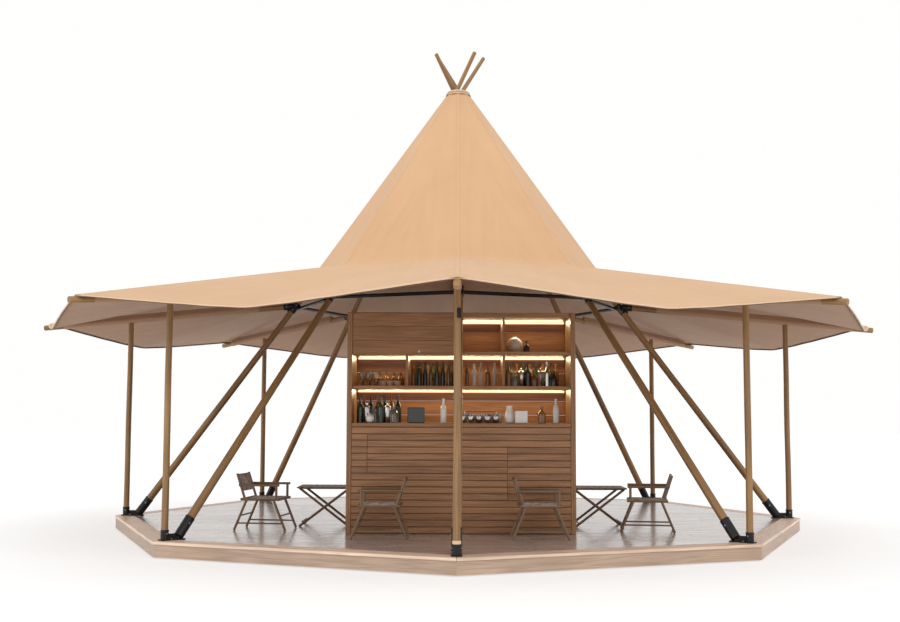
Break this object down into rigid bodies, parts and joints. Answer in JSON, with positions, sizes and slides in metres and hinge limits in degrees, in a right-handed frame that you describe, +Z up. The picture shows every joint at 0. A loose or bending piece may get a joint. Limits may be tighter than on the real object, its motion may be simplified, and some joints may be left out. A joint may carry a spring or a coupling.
{
  "type": "octagonal tipi pavilion with a bar",
  "caption": "Open-sided octagonal tent on a timber deck: posts and leaning poles carry a canvas cone with a pointed brim, over a slatted bar with shelves and low camp furniture.",
  "frame": {"origin": "on the ground under the middle of the deck", "axes": "+Z up; -Y is the side the bar faces, +X to the right of a viewer who looks at the bar"},
  "size_m": [9.8056, 9.8056, 5.7187],
  "materials": {
    "deck_wood": "pale satin boards",
    "floor_board": "pale grey polished boards",
    "pole_wood": "peeled and oiled round poles",
    "black_steel": "satin black",
    "canopy_cloth": "sand coloured cotton canvas",
    "slat_wood": "brown oiled slats",
    "shelf_wood": "brown satin boards",
    "frame_wood": "light brown satin boards",
    "camp_furniture": "brown wood with grey cloth"
  },
  "bodies": {
    "root": {"bar_counter": "frame_wood", "bar_front": "slat_wood", "bar_shelves": "shelf_wood", "bar_side_left": "frame_wood", "bar_side_right": "frame_wood", "bar_upper_panel": "shelf_wood", "canopy_brim": "canopy_cloth", "canopy_cone": "canopy_cloth", "chair_inner_left": "camp_furniture", "chair_inner_right": "camp_furniture", "chair_left": "camp_furniture", "chair_right": "camp_furniture", "crown_ring": "black_steel", "deck_edge": "deck_wood", "deck_floor": "floor_board", "pole_1": "pole_wood", "pole_2": "pole_wood", "pole_3": "pole_wood", "pole_4": "pole_wood", "pole_5": "pole_wood", "pole_6": "pole_wood", "pole_7": "pole_wood", "pole_8": "pole_wood", "post_1": "pole_wood", "post_2": "pole_wood", "post_3": "pole_wood", "post_4": "pole_wood", "post_5": "pole_wood", "post_6": "pole_wood", "post_7": "pole_wood", "post_8": "pole_wood", "rafter_1": "pole_wood", "rafter_2": "pole_wood", "rafter_3": "pole_wood", "rafter_4": "pole_wood", "rafter_5": "pole_wood", "rafter_6": "pole_wood", "rafter_7": "pole_wood", "rafter_8": "pole_wood", "ring_frame": "black_steel", "shoe_1": "black_steel", "shoe_2": "black_steel", "shoe_3": "black_steel", "shoe_4": "black_steel", "shoe_5": "black_steel", "shoe_6": "black_steel", "shoe_7": "black_steel", "shoe_8": "black_steel", "table_left": "camp_furniture", "table_right": "camp_furniture"}
  },
  "joints": []
}
